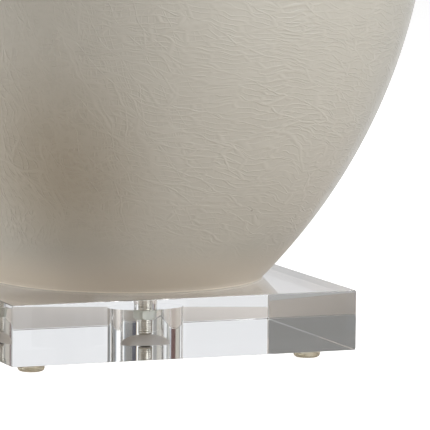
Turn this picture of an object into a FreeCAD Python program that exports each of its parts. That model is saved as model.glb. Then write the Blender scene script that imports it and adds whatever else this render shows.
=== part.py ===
import FreeCAD, Part
import math
import os

# Table lamp: a crackle-glazed ceramic vase on a clear cast acrylic block, with a
# lampholder, a harp and a drum shade above it. Millimetres, +Z up, front at -Y.
# The origin is on the vase's axis, at the height of the surface under the feet.

os.makedirs("parts", exist_ok=True)

Vector = FreeCAD.Vector
UP = Vector(0, 0, 1)
LEFT_AND_RIGHT = (-1, 1)

# Clearances
cut_overrun = 2.0
slip_clearance = 0.1
running_clearance = 0.06
glue_gap = 0.05
soft_clearance = 0.3

# Clear bumper feet, stuck on by hand, so that the set sits a little left of centre
foot_radius = 5.65
foot_edge_rounding = 1.5
foot_height = 4.1
foot_inset = 14.7
foot_set_shift = 1.5

# Clear acrylic block
block_side = 152.4
block_height = 25.4
block_corner_radius = 0.6
block_edge_chamfer = 0.3
block_hole_radius = 5.1
counterbore_radius = 16.7
counterbore_ceiling_web = 10.2

# Threaded pipe and the hardware under the block
pipe_radius = 4.85
pipe_bore_radius = 3.45
pipe_stick_out = 6.8
pipe_end_chamfer = 0.5
washer_radius = 11.0
washer_thickness = 1.4
nut_across_flats = 14.3
nut_thickness = 4.2
nut_chamfer_angle = 30.0
nut_turn_angle = 5.0

# Ceramic vase
vase_foot_radius = 59.5
vase_belly_radius = 129.4
vase_belly_height = 172.0
vase_shoulder_curve = 168.0
vase_neck_radius = 30.0
vase_neck_curve = 14.0
vase_lip_rise = 8.0
vase_lip_rounding = 1.8
vase_wall = 6.0
vase_floor = 9.0
vase_foot_ring_width = 8.0
vase_foot_recess = 1.6
vase_pipe_hole_radius = 6.0

# Cord bushing, square to the vase's wall low at the back
bushing_height = 25.0
bushing_bore_radius = 3.3
bushing_shank_radius = 4.8
bushing_head_radius = 7.2
bushing_head_thickness = 2.4
bushing_head_rounding = 1.0
bushing_tail = 2.0

# Spun metal vase cap
cap_thickness = 1.2
cap_lip_clearance = 0.7
cap_rim_drop = 4.0
cap_dome_foot_radius = 20.0
cap_dome_curve = 8.0
cap_edge_rounding = 0.9

# Turned neck and check ring
neck_height = 24.0
neck_foot_radius = 12.0
neck_foot_height = 3.5
neck_waist_radius = 7.4
neck_bead_radius = 9.6
neck_bead_height = 4.0
neck_cove_radius = 4.0
check_ring_radius = 13.0
check_ring_thickness = 3.2

# Harp saddle
saddle_thickness = 1.5
saddle_width = 12.0
saddle_half_span = 26.0
saddle_bend_radius = 5.0
saddle_shoulder_height = 12.0
saddle_tip_width = 5.0
saddle_tip_length = 12.0

# Lampholder shell and cap
holder_hub_radius = 7.5
holder_hub_height = 6.0
holder_cap_curve = 9.0
holder_cap_wall = 0.8
holder_cap_rim = 6.0
holder_shell_radius = 16.2
holder_shell_wall = 0.6
holder_shell_length = 50.0
holder_bead_radius = 0.7
holder_bead_places_share = (0.30, 0.98)
liner_thickness = 0.8
set_screw_radius = 1.5
set_screw_length = 3.6
pipe_grip_length = 9.0

# Lampholder inside
body_height = 19.0
body_lift = 4.0
wire_pocket_depth = 4.0
screw_shell_bore_radius = 13.25
screw_shell_wall = 0.4
screw_shell_depth = 25.0
screw_shell_floor = 0.6
screw_shell_well_radius = 11.0
contact_window_radius = 7.0
contact_width = 5.0
contact_thickness = 0.5
contact_length = 10.0
contact_rise = 4.0
terminal_head_radius = 2.8
terminal_head_thickness = 1.6
terminal_shank_radius = 1.5
terminal_shank_length = 4.0
terminal_pocket_depth = 3.0

# Turn switch, its shaft pointing to the front
switch_axis_height = 9.0
switch_shaft_radius = 1.6
switch_shaft_inner_end = 5.0
switch_hole_clearance = 1.0
knob_radius = 5.2
knob_length = 13.0
knob_shell_gap = 2.6
knob_end_rounding = 1.0
knob_grip_depth = 9.0
knob_flute_count = 10
knob_flute_radius = 0.9

# Harp
harp_height = 240.0
harp_half_width = 62.0
harp_crown_curve = 55.0
harp_flare_curve = 60.0
harp_wire_radius = 1.9
harp_straight_spare = 4.0
harp_shoe_radius = 2.6
harp_shoe_length = 8.0
collar_radius = 8.5
collar_height = 6.4
collar_rounding = 1.0
collar_wire_depth = 4.5
stud_radius = 3.1
stud_length = 12.5

# Locking ferrules on the harp's legs
ferrule_length = 24.0
ferrule_wall = 1.1
ferrule_travel = 12.0
ferrule_bead = 0.8
ferrule_bead_height = 3.0

# Drum shade
shade_bottom_radius = 203.2
shade_top_radius = 177.8
shade_height = 280.0
shade_wall = 1.0
shade_drop = 20.0
shade_ring_inset = 4.0
shade_ring_wire_radius = 1.4
trim_width = 10.0
trim_thickness = 0.6
spider_washer_radius = 12.5
spider_washer_thickness = 1.6
spider_wire_radius = 1.7
spider_arm_count = 3
spider_flat_length = 16.0
spider_bend_radius = 14.0

# Finial
finial_flange_radius = 8.0
finial_flange_height = 3.0
finial_stem_radius = 4.6
finial_cup_radius = 7.0
finial_height = 15.0
finial_seat_depth = 1.2
finial_peg_radius = 1.6
finial_peg_length = 1.8
finial_ball_radius = 14.0

# Heights worked out from the stack of pieces
block_bottom = foot_height
block_top = block_bottom + block_height
counterbore_ceiling = block_top - counterbore_ceiling_web
washer_bottom = counterbore_ceiling - washer_thickness
base_nut_bottom = washer_bottom - nut_thickness
pipe_bottom = base_nut_bottom - pipe_stick_out


def vase_arcs(inward):
    """The vase's wall as circles in the radius-height plane, moved inward by a wall."""
    foot_overhang = vase_belly_radius - vase_foot_radius
    side_curve = (foot_overhang ** 2 + vase_belly_height ** 2) / (2 * foot_overhang)
    side_centre = vase_belly_radius - side_curve
    shoulder_centre = vase_belly_radius - vase_shoulder_curve
    neck_centre = vase_neck_radius + vase_neck_curve
    reach = vase_shoulder_curve + vase_neck_curve
    waist = vase_belly_height + math.sqrt(reach ** 2 - (neck_centre - shoulder_centre) ** 2)
    return {
        "side_centre": side_centre,
        "side_curve": side_curve - inward,
        "shoulder_centre": shoulder_centre,
        "shoulder_curve": vase_shoulder_curve - inward,
        "neck_centre": neck_centre,
        "neck_curve": vase_neck_curve + inward,
        "waist": waist,
    }


def vase_radius(height):
    """Outer radius of the vase's lower wall at a height above its foot."""
    arcs = vase_arcs(0)
    return arcs["side_centre"] + math.sqrt(arcs["side_curve"] ** 2 - (vase_belly_height - height) ** 2)


vase_height = vase_arcs(0)["waist"] + vase_lip_rise
vase_lip_radius = vase_arcs(0)["neck_centre"] - math.sqrt(vase_neck_curve ** 2 - vase_lip_rise ** 2)
lip_top = block_top + vase_height
cap_top = lip_top + cap_thickness + cap_dome_curve
neck_top = cap_top + neck_height
check_ring_top = neck_top + check_ring_thickness
saddle_top = check_ring_top + saddle_thickness
saddle_nut_top = saddle_top + nut_thickness
holder_bottom = saddle_nut_top
pipe_top = holder_bottom + pipe_grip_length
holder_rim_bottom = holder_bottom + holder_hub_height + holder_cap_curve
shell_bottom = holder_rim_bottom + holder_cap_wall
shell_top = shell_bottom + holder_shell_length
liner_radius = holder_shell_radius - holder_shell_wall - slip_clearance
body_radius = liner_radius - liner_thickness - slip_clearance
body_bottom = shell_bottom + body_lift
body_top = body_bottom + body_height
switch_z = body_bottom + switch_axis_height
shoulder_z = check_ring_top + saddle_shoulder_height
tip_z = shoulder_z + saddle_tip_length
ferrule_bottom = shoulder_z + soft_clearance
crown_z = check_ring_top + harp_height
collar_bottom = crown_z - collar_height / 2
collar_top = crown_z + collar_height / 2
spider_top = collar_top + spider_washer_thickness
shade_top = spider_top + shade_drop
shade_bottom = shade_top - shade_height
shade_slope = (shade_bottom_radius - shade_top_radius) / shade_height


def save(node, shape):
    """Write one sub-part and print its size."""
    shape.exportStep("parts/" + node + ".step")
    box = shape.optimalBoundingBox(True, False)
    print(node, "solids", len(shape.Solids), "valid", shape.isValid(), "volume", round(shape.Volume),
          "z", round(box.ZMin, 2), round(box.ZMax, 2))


def group(solids):
    """Several separate solids as one sub-part."""
    return Part.makeCompound(solids)


def disc(radius, low, high, x=0, y=0):
    """An upright cylinder between two heights."""
    return Part.makeCylinder(radius, high - low, Vector(x, y, low))


def tube(outer, inner, low, high):
    """An upright tube between two heights."""
    return disc(outer, low, high).cut(disc(inner, low - cut_overrun, high + cut_overrun))


def line(start, end):
    """A straight edge of a profile given as (radius, height)."""
    return Part.LineSegment(Vector(start[0], 0, start[1]), Vector(end[0], 0, end[1])).toShape()


def arc(centre, radius, from_angle, to_angle):
    """A round edge of a profile, through its middle, angles in degrees from +radius to +height."""
    def at(angle):
        turn = math.radians(angle)
        return Vector(centre[0] + radius * math.cos(turn), 0, centre[1] + radius * math.sin(turn))
    return Part.Arc(at(from_angle), at((from_angle + to_angle) / 2), at(to_angle)).toShape()


def end_of(edge):
    """The second end of a profile's edge as (radius, height)."""
    point = edge.valueAt(edge.LastParameter)
    return (point.x, point.z)


def profile(steps):
    """A closed outline from points, as (radius, height), and edges, joined by straight edges."""
    edges = []
    here = None
    first = None
    for step in steps:
        if isinstance(step, tuple):
            start = step
        else:
            start = (step.valueAt(step.FirstParameter).x, step.valueAt(step.FirstParameter).z)
        if here is not None and math.dist(here, start) > Part.Precision.confusion():
            edges.append(line(here, start))
        if first is None:
            first = start
        if not isinstance(step, tuple):
            edges.append(step)
            start = end_of(step)
        here = start
    if math.dist(here, first) > Part.Precision.confusion():
        edges.append(line(here, first))
    return Part.Face(Part.Wire(edges))


def turned(steps):
    """A turned piece: the outline spun about the vertical axis."""
    return profile(steps).revolve(Vector(0, 0, 0), UP, 360)


def extruded(steps, width):
    """The outline in the XZ plane, given a width along Y, centred."""
    solid = profile(steps).extrude(Vector(0, width, 0))
    solid.translate(Vector(0, -width / 2, 0))
    return solid


def around(shape, count):
    """Copies of a shape at even angles about the vertical axis."""
    copies = []
    for index in range(count):
        copy = shape.copy()
        copy.rotate(Vector(0, 0, 0), UP, 360 * index / count)
        copies.append(copy)
    return copies


def bumper_feet():
    """Four clear round bumpers with a rounded edge, stuck under the block's corners."""
    reach = block_side / 2 - foot_inset
    edge = arc((foot_radius - foot_edge_rounding, foot_edge_rounding), foot_edge_rounding, -90, 0)
    foot = turned([(0, 0), edge, (foot_radius, foot_height), (0, foot_height)])
    feet = []
    for x_side in LEFT_AND_RIGHT:
        for y_side in LEFT_AND_RIGHT:
            copy = foot.copy()
            copy.translate(Vector(x_side * reach - foot_set_shift, y_side * reach, 0))
            feet.append(copy)
    return group(feet)


def acrylic_block():
    """The square block: eased edges, a through hole and a wide counterbore from below."""
    half = block_side / 2
    block = Part.makeBox(block_side, block_side, block_height, Vector(-half, -half, block_bottom))
    upright = [edge for edge in block.Edges if abs(edge.tangentAt(0).z) > 0.5]
    block = block.makeFillet(block_corner_radius, upright)
    rims = [edge for edge in block.Edges if edge.BoundBox.ZLength < block_edge_chamfer]
    block = block.makeChamfer(block_edge_chamfer, rims)
    hole = disc(block_hole_radius, block_bottom - cut_overrun, block_top + cut_overrun)
    counterbore = disc(counterbore_radius, block_bottom - cut_overrun, counterbore_ceiling)
    return block.cut(hole).cut(counterbore)


def hex_nut(bottom):
    """A hexagon nut for the pipe, its corners chamfered on both faces."""
    corner = nut_across_flats / math.sqrt(3)
    flat = nut_across_flats / 2
    points = []
    for index in range(7):
        turn = math.radians(60 * index + nut_turn_angle)
        points.append(Vector(corner * math.cos(turn), corner * math.sin(turn), bottom))
    prism = Part.Face(Part.makePolygon(points)).extrude(Vector(0, 0, nut_thickness))
    chamfer = (corner - flat) * math.tan(math.radians(nut_chamfer_angle))
    top = bottom + nut_thickness
    limit = turned([(0, bottom), (flat, bottom), (corner, bottom + chamfer),
                    (corner, top - chamfer), (flat, top), (0, top)])
    nut = prism.common(limit)
    return nut.cut(disc(pipe_radius + glue_gap, bottom - cut_overrun, top + cut_overrun))


def base_washer():
    """Flat steel washer between the counterbore's ceiling and the nut."""
    return tube(washer_radius, pipe_radius + slip_clearance, washer_bottom, counterbore_ceiling)


def threaded_pipe():
    """The hollow pipe that runs from the base nut to the lampholder and ties the lamp together."""
    eased = pipe_radius - pipe_end_chamfer
    return turned([(pipe_bore_radius, pipe_bottom), (eased, pipe_bottom),
                   (pipe_radius, pipe_bottom + pipe_end_chamfer), (pipe_radius, pipe_top - pipe_end_chamfer),
                   (eased, pipe_top), (pipe_bore_radius, pipe_top)])


def vase_outline(inward, floor, top):
    """The vase's wall from a floor height to the neck's waist, as round edges."""
    arcs = vase_arcs(inward)
    side_start = math.degrees(math.asin((floor - vase_belly_height) / arcs["side_curve"]))
    across = arcs["neck_centre"] - arcs["shoulder_centre"]
    blend = math.degrees(math.acos(across / (vase_shoulder_curve + vase_neck_curve)))
    if top > arcs["waist"]:
        flare = math.degrees(math.asin((top - arcs["waist"]) / arcs["neck_curve"]))
    else:
        flare = 0
    return [
        arc((arcs["side_centre"], vase_belly_height), arcs["side_curve"], side_start, 0),
        arc((arcs["shoulder_centre"], vase_belly_height), arcs["shoulder_curve"], 0, blend),
        arc((arcs["neck_centre"], arcs["waist"]), arcs["neck_curve"], 180 + blend, 180 - flare),
    ]


def vase_body():
    """The thrown vase: hollow, with a foot ring, a floor hole, a short neck and a rolled lip."""
    top = vase_height
    waist = vase_arcs(0)["waist"]
    outside = turned([(0, 0)] + vase_outline(0, 0, top) + [(0, top)])
    rim = [edge for edge in outside.Edges if edge.BoundBox.ZMin > top - glue_gap and edge.Length > vase_wall]
    outside = outside.makeFillet(vase_lip_rounding, rim)
    mouth_radius = vase_neck_radius - vase_wall
    above = top + cut_overrun
    inside = turned([(0, vase_floor)] + vase_outline(vase_wall, vase_floor, waist)
                    + [(mouth_radius, above), (0, above)])
    vase = outside.cut(inside)
    vase = vase.cut(disc(vase_foot_radius - vase_foot_ring_width, -cut_overrun, vase_foot_recess))
    vase = vase.cut(disc(vase_pipe_hole_radius, -cut_overrun, vase_floor + cut_overrun))
    vase.translate(Vector(0, 0, block_top))
    reach = bushing_tail + vase_wall + cut_overrun
    hole = disc(bushing_shank_radius + slip_clearance, -reach, cut_overrun)
    return vase.cut(at_bushing(hole))


def at_bushing(shape):
    """Put a shape made about +Z onto the bushing's seat, +Z leading out of the vase."""
    arcs = vase_arcs(0)
    droop = math.degrees(math.asin((vase_belly_height - bushing_height) / arcs["side_curve"]))
    placed = shape.copy()
    placed.rotate(Vector(0, 0, 0), Vector(1, 0, 0), -90 - droop)
    placed.translate(Vector(0, vase_radius(bushing_height), block_top + bushing_height))
    return placed


def cord_bushing():
    """The plastic bushing through the vase's back wall that the mains lead comes out of."""
    head = bushing_head_thickness
    edge = arc((bushing_head_radius - bushing_head_rounding, head - bushing_head_rounding),
               bushing_head_rounding, 0, 90)
    tail = -vase_wall - bushing_tail
    bushing = turned([(bushing_bore_radius, tail), (bushing_shank_radius, tail), (bushing_shank_radius, 0),
                      (bushing_head_radius, 0), edge, (bushing_bore_radius, head)])
    return at_bushing(bushing)


def vase_cap():
    """The spun cap over the vase's mouth: a rim round the lip and a small dome for the neck."""
    outer = vase_lip_radius + cap_lip_clearance + cap_thickness
    inner = outer - cap_thickness
    dome_top_radius = cap_dome_foot_radius - cap_dome_curve
    deck = lip_top + cap_thickness
    low = lip_top - cap_rim_drop
    rounded = arc((outer - cap_edge_rounding, deck - cap_edge_rounding), cap_edge_rounding, 0, 90)
    dome = arc((dome_top_radius, deck), cap_dome_curve, 0, 90)
    under_curve = cap_dome_curve - cap_thickness
    under = arc((dome_top_radius, deck), under_curve, 90, 0)
    hole = pipe_radius + slip_clearance
    return turned([(inner, low), (outer, low), rounded, dome, (hole, cap_top),
                   (hole, cap_top - cap_thickness), under,
                   (dome_top_radius + under_curve, lip_top), (inner, lip_top)])


def neck():
    """The turned neck between the cap and the saddle: a foot, a cove, a waist and a bead."""
    foot_top = cap_top + neck_foot_height
    half_bead = neck_bead_height / 2
    cove = arc((neck_waist_radius + neck_cove_radius, foot_top + neck_cove_radius), neck_cove_radius, 270, 180)
    bead_centre = (neck_bead_radius - half_bead, neck_top - half_bead)
    bead = arc(bead_centre, half_bead, -90, 90)
    foot_round = neck_foot_height / 2
    foot_edge = arc((neck_foot_radius - foot_round, cap_top + foot_round), foot_round, -90, 90)
    hole = pipe_radius + slip_clearance
    return turned([(hole, cap_top), foot_edge, cove, (neck_waist_radius, neck_top - neck_bead_height),
                   bead, (hole, neck_top)])


def check_ring():
    """The ring that spreads the saddle's load, with a rounded edge."""
    half = check_ring_thickness / 2
    edge = arc((check_ring_radius - half, neck_top + half), half, -90, 90)
    hole = pipe_radius + slip_clearance
    return turned([(hole, neck_top), edge, (hole, check_ring_top)])


def harp_saddle():
    """The bent steel strip whose two upright legs take the harp."""
    half = saddle_thickness / 2
    outer_x = saddle_half_span + half
    inner_x = saddle_half_span - half
    outer_curve = saddle_bend_radius + saddle_thickness
    bend_x = inner_x - saddle_bend_radius
    bend_z = saddle_top + saddle_bend_radius
    steps = [arc((-bend_x, bend_z), outer_curve, 180, 270),
             arc((bend_x, bend_z), outer_curve, 270, 360),
             (outer_x, tip_z), (inner_x, tip_z),
             arc((bend_x, bend_z), saddle_bend_radius, 360, 270),
             arc((-bend_x, bend_z), saddle_bend_radius, 270, 180),
             (-inner_x, tip_z), (-outer_x, tip_z)]
    strip = extruded(steps, saddle_width)
    spare = (saddle_width - saddle_tip_width) / 2 + cut_overrun
    for x_side in LEFT_AND_RIGHT:
        for y_side in LEFT_AND_RIGHT:
            low_x = x_side * saddle_half_span - saddle_width / 2
            low_y = min(y_side * saddle_tip_width / 2, y_side * (saddle_tip_width / 2 + spare))
            notch = Part.makeBox(saddle_width, spare, saddle_tip_length + cut_overrun,
                                 Vector(low_x, low_y, shoulder_z))
            strip = strip.cut(notch)
    hole = disc(pipe_radius + slip_clearance, check_ring_top - cut_overrun, saddle_top + cut_overrun)
    return strip.cut(hole)


def holder_cap():
    """The lampholder's domed lower cap with the hub that screws onto the pipe."""
    outer = holder_shell_radius + slip_clearance + holder_cap_wall
    inner = outer - holder_cap_wall
    bell_centre = (outer - holder_cap_curve, holder_rim_bottom)
    bell = arc(bell_centre, holder_cap_curve, -90, 0)
    hollow = arc(bell_centre, holder_cap_curve - holder_cap_wall, 0, -90)
    rim_top = holder_rim_bottom + holder_cap_rim
    bell_bottom = holder_bottom + holder_hub_height
    hole = pipe_radius + glue_gap
    solid = turned([(hole, holder_bottom), (holder_hub_radius, holder_bottom),
                    (holder_hub_radius, bell_bottom), bell, (outer, rim_top), (inner, rim_top), hollow,
                    (holder_hub_radius, bell_bottom + holder_cap_wall), (holder_hub_radius, pipe_top),
                    (hole, pipe_top)])
    return solid.cut(set_screw_at(slip_clearance, cut_overrun))


def set_screw_at(extra_radius, extra_length):
    """The set screw's cylinder in the hub, pointing to the back."""
    height = holder_bottom + holder_hub_height / 2
    start = pipe_radius + glue_gap
    return Part.makeCylinder(set_screw_radius + extra_radius, set_screw_length + extra_length,
                             Vector(0, start, height), Vector(0, 1, 0))


def holder_set_screw():
    """The slotted screw that keeps the lampholder from turning on the pipe."""
    screw = set_screw_at(0, 0)
    height = holder_bottom + holder_hub_height / 2
    slot_width = set_screw_radius / 2
    end = pipe_radius + glue_gap + set_screw_length
    slot = Part.makeBox(2 * set_screw_radius, slot_width + cut_overrun, slot_width,
                        Vector(-set_screw_radius, end - slot_width, height - slot_width / 2))
    return screw.cut(slot)


def switch_hole(radius):
    """A hole for the switch's shaft through one side of the lampholder."""
    length = holder_shell_radius + cut_overrun
    return Part.makeCylinder(radius, length, Vector(0, 0, switch_z), Vector(0, -1, 0))


def holder_shell():
    """The lampholder's drawn metal shell, with two pressed beads."""
    shell = tube(holder_shell_radius, holder_shell_radius - holder_shell_wall, shell_bottom, shell_top)
    for share in holder_bead_places_share:
        height = shell_bottom + share * holder_shell_length
        bead = turned([arc((holder_shell_radius - slip_clearance, height), holder_bead_radius, -90, 90)])
        shell = shell.fuse(bead)
    return shell.removeSplitter().cut(switch_hole(switch_shaft_radius + switch_hole_clearance))


def holder_liner():
    """The fibre tube that insulates the shell from the live parts."""
    liner = tube(liner_radius, liner_radius - liner_thickness, shell_bottom, shell_top)
    return liner.cut(switch_hole(switch_shaft_radius + switch_hole_clearance))


def terminal_x():
    """Distance of the terminal screws' seats from the axis."""
    return body_radius - terminal_pocket_depth


def terminal_cylinder(side, radius, length, start):
    """A sideways cylinder at a terminal, growing outwards from its start."""
    return Part.makeCylinder(radius, length, Vector(side * start, 0, switch_z), Vector(side, 0, 0))


def holder_body():
    """The moulded switch housing, with a pocket for each terminal and a bore for the shaft."""
    body = disc(body_radius, body_bottom, body_top)
    body = body.cut(disc(pipe_radius, body_bottom - cut_overrun, body_bottom + wire_pocket_depth))
    pocket_side = 2 * (terminal_head_radius + soft_clearance)
    for side in LEFT_AND_RIGHT:
        seat = terminal_x()
        low_x = seat if side > 0 else -seat - pocket_side
        pocket = Part.makeBox(pocket_side, pocket_side, pocket_side,
                              Vector(low_x, -pocket_side / 2, switch_z - pocket_side / 2))
        body = body.cut(pocket)
        hole = terminal_cylinder(side, terminal_shank_radius + glue_gap,
                                 terminal_shank_length + cut_overrun, seat - terminal_shank_length)
        body = body.cut(hole)
    bore_end = switch_shaft_inner_end - soft_clearance
    bore = Part.makeCylinder(switch_shaft_radius + running_clearance, body_radius + cut_overrun,
                             Vector(0, -bore_end, switch_z), Vector(0, -1, 0))
    return body.cut(bore)


def terminal_screws():
    """Two wire terminals on the housing: a slotted head and a shank each."""
    screws = []
    for side in LEFT_AND_RIGHT:
        seat = terminal_x()
        head = terminal_cylinder(side, terminal_head_radius, terminal_head_thickness, seat)
        shank = terminal_cylinder(side, terminal_shank_radius, terminal_shank_length,
                                  seat - terminal_shank_length)
        screws.append(head.fuse(shank).removeSplitter())
    return group(screws)


def screw_shell():
    """The thin metal cup that the bulb screws into, narrower at the bottom, round the contact."""
    outer = screw_shell_bore_radius + screw_shell_wall
    well_outer = screw_shell_well_radius + screw_shell_wall
    top = body_top + screw_shell_depth
    floor = body_top + screw_shell_floor
    ledge = screw_shell_ledge()
    return turned([(contact_window_radius, body_top), (well_outer, body_top),
                   (well_outer, ledge - screw_shell_wall), (outer, ledge - screw_shell_wall), (outer, top),
                   (screw_shell_bore_radius, top), (screw_shell_bore_radius, ledge),
                   (screw_shell_well_radius, ledge), (screw_shell_well_radius, floor),
                   (contact_window_radius, floor)])


def screw_shell_ledge():
    """Height where the wide, threaded part of the cup begins, just above the contact's tip."""
    return body_top + contact_rise + contact_thickness + soft_clearance


def centre_contact():
    """The springy brass tongue under the bulb's tip."""
    half = contact_length / 2
    rise = contact_rise
    steps = [(-half, body_top), (0, body_top), (half, body_top + rise),
             (half, body_top + rise + contact_thickness),
             (-contact_thickness, body_top + contact_thickness), (-half, body_top + contact_thickness)]
    return extruded(steps, contact_width)


def knob_inner_end():
    """Distance of the knob's inner end from the lamp's axis."""
    return holder_shell_radius + knob_shell_gap


def switch_shaft():
    """The switch's shaft, from the housing's bore to inside the knob."""
    length = knob_inner_end() + knob_grip_depth - switch_shaft_inner_end
    return Part.makeCylinder(switch_shaft_radius, length,
                             Vector(0, -switch_shaft_inner_end, switch_z), Vector(0, -1, 0))


def switch_knob():
    """The fluted turn knob, pushed onto the shaft."""
    hole = switch_shaft_radius + glue_gap
    rounded = arc((knob_radius - knob_end_rounding, knob_length - knob_end_rounding), knob_end_rounding, 0, 90)
    knob = turned([(hole, 0), (knob_radius, 0), rounded, (0, knob_length),
                   (0, knob_grip_depth + glue_gap), (hole, knob_grip_depth + glue_gap)])
    flute = disc(knob_flute_radius, -cut_overrun, knob_length - 2 * knob_end_rounding, knob_radius)
    for cutter in around(flute, knob_flute_count):
        knob = knob.cut(cutter)
    knob.rotate(Vector(0, 0, 0), Vector(1, 0, 0), 90)
    knob.translate(Vector(0, -knob_inner_end(), switch_z))
    return knob


def harp_path(side):
    """One half of the harp: up from the saddle, out in a flare, and in over a round crown."""
    foot_z = tip_z + soft_clearance
    straight_top = ferrule_bottom + ferrule_length + ferrule_travel + harp_straight_spare
    flare_centre = (saddle_half_span + harp_flare_curve, straight_top)
    crown_centre = (harp_half_width - harp_crown_curve, crown_z - harp_crown_curve)
    across = crown_centre[0] - flare_centre[0]
    rise = crown_centre[1] - flare_centre[1]
    distance = math.hypot(across, rise)
    lean = math.degrees(math.atan2(across, rise) + math.asin((harp_flare_curve + harp_crown_curve) / distance))
    foot = (saddle_half_span, foot_z)
    flare = arc(flare_centre, harp_flare_curve, 180, 180 - lean)
    crown = arc(crown_centre, harp_crown_curve, -lean, 90)
    crown_start = crown.valueAt(crown.FirstParameter)
    inner = (collar_radius - collar_wire_depth, crown_z)
    edges = [line(foot, (saddle_half_span, straight_top)), flare,
             line(end_of(flare), (crown_start.x, crown_start.z)), crown,
             line(end_of(crown), inner)]
    wire = Part.Wire(edges)
    if side < 0:
        wire = wire.mirror(Vector(0, 0, 0), Vector(1, 0, 0))
    return Part.Wire(wire.Edges)


def swept(path, radius, start, heading):
    """A round wire along a path of straight and round edges."""
    section = Part.Wire(Part.makeCircle(radius, start, heading))
    return path.makePipeShell([section], True, False)


def harp_wire():
    """The harp's two bent wires, each with a swaged shoe over the saddle's tip."""
    legs = []
    foot_z = tip_z + soft_clearance
    for side in LEFT_AND_RIGHT:
        start = Vector(side * saddle_half_span, 0, foot_z)
        leg = swept(harp_path(side), harp_wire_radius, start, UP)
        shoe = disc(harp_shoe_radius, foot_z, foot_z + harp_shoe_length, side * saddle_half_span)
        legs.append(leg.fuse(shoe).removeSplitter())
    return group(legs)


def harp_top():
    """The turned collar that holds both wires, with the stud for the shade and finial."""
    low_edge = arc((collar_radius - collar_rounding, collar_bottom + collar_rounding), collar_rounding, -90, 0)
    high_edge = arc((collar_radius - collar_rounding, collar_top - collar_rounding), collar_rounding, 0, 90)
    collar = turned([(0, collar_bottom), low_edge, high_edge, (stud_radius, collar_top),
                     (stud_radius, collar_top + stud_length), (0, collar_top + stud_length)])
    start = collar_radius - collar_wire_depth - glue_gap
    for side in LEFT_AND_RIGHT:
        hole = Part.makeCylinder(harp_wire_radius + glue_gap, collar_wire_depth + cut_overrun,
                                 Vector(side * start, 0, crown_z), Vector(side, 0, 0))
        collar = collar.cut(hole)
    return collar


def ferrule(side):
    """A sleeve that locks the harp's leg onto the saddle and slides up to free it."""
    bore = harp_shoe_radius + slip_clearance
    outer = bore + ferrule_wall
    top = ferrule_bottom + ferrule_length
    bead = outer + ferrule_bead
    bead_top = ferrule_bottom + ferrule_bead_height
    sleeve = turned([(bore, ferrule_bottom), (bead, ferrule_bottom), (bead, bead_top),
                     (outer, bead_top + ferrule_bead),
                     (outer, top - ferrule_wall), (bore + ferrule_wall / 2, top), (bore, top)])
    sleeve.translate(Vector(side * saddle_half_span, 0, 0))
    return sleeve


def shade_radius(height):
    """Outer radius of the shade's wall at a height."""
    return shade_top_radius + (shade_top - height) * shade_slope


def shade_shell():
    """The stiffened fabric wall of the drum shade, open at both ends."""
    return turned([(shade_bottom_radius - shade_wall, shade_bottom), (shade_bottom_radius, shade_bottom),
                   (shade_top_radius, shade_top), (shade_top_radius - shade_wall, shade_top)])


def ring_radius(height):
    """Radius of a shade ring's wire against the inside of the wall."""
    lean = math.hypot(1, shade_slope)
    return shade_radius(height) - shade_wall - (shade_ring_wire_radius + glue_gap) * lean


def shade_ring(height):
    """A round steel ring just inside one end of the shade."""
    return Part.makeTorus(ring_radius(height), shade_ring_wire_radius, Vector(0, 0, height))


def trim_band(low, high, fold_low):
    """A folded fabric band round one end of the shade, lapped over its edge."""
    edge = low if fold_low else high
    lap = -trim_thickness if fold_low else trim_thickness
    inner_edge = shade_radius(edge) - shade_wall
    gap = glue_gap
    other = high if fold_low else low
    steps = [(shade_radius(other) + gap, other), (shade_radius(edge) + gap, edge),
             (inner_edge, edge), (inner_edge, edge + lap),
             (shade_radius(edge) + gap + trim_thickness, edge + lap),
             (shade_radius(other) + gap + trim_thickness, other)]
    return turned(steps)


def shade_trims():
    """The bands round the shade's two ends."""
    bottom = trim_band(shade_bottom, shade_bottom + trim_width, True)
    top = trim_band(shade_top - trim_width, shade_top, False)
    return group([bottom, top])


def spider_arm():
    """One arm, level from the washer, then bent up to the shade's top ring."""
    level = collar_top + spider_wire_radius
    ring_z = shade_top - shade_ring_inset
    inner = spider_washer_radius - spider_wire_radius
    outer = ring_radius(ring_z) - shade_ring_wire_radius
    run = outer - inner - 2 * spider_flat_length
    climb = ring_z - level
    angle = math.degrees(math.atan2(climb, run))
    setback = spider_bend_radius * math.tan(math.radians(angle / 2))
    first = inner + spider_flat_length
    last = outer - spider_flat_length
    low_bend = arc((first - setback, level + spider_bend_radius), spider_bend_radius, 270, 270 + angle)
    high_bend = arc((last + setback, ring_z - spider_bend_radius), spider_bend_radius, 90 + angle, 90)
    high_start = high_bend.valueAt(high_bend.FirstParameter)
    path = Part.Wire([line((inner, level), (first - setback, level)), low_bend,
                      line(end_of(low_bend), (high_start.x, high_start.z)), high_bend,
                      line((last + setback, ring_z), (outer, ring_z))])
    return swept(path, spider_wire_radius, Vector(inner, 0, level), Vector(1, 0, 0))


def shade_spider():
    """The three-armed spider whose washer sits on the harp's collar."""
    washer = tube(spider_washer_radius, stud_radius + running_clearance, collar_top, spider_top)
    spider = washer
    for arm in around(spider_arm(), spider_arm_count):
        spider = spider.fuse(arm)
    below = Part.makeBox(4 * spider_washer_radius, 4 * spider_washer_radius, cut_overrun,
                         Vector(-2 * spider_washer_radius, -2 * spider_washer_radius, collar_top - cut_overrun))
    return spider.cut(below)


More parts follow.
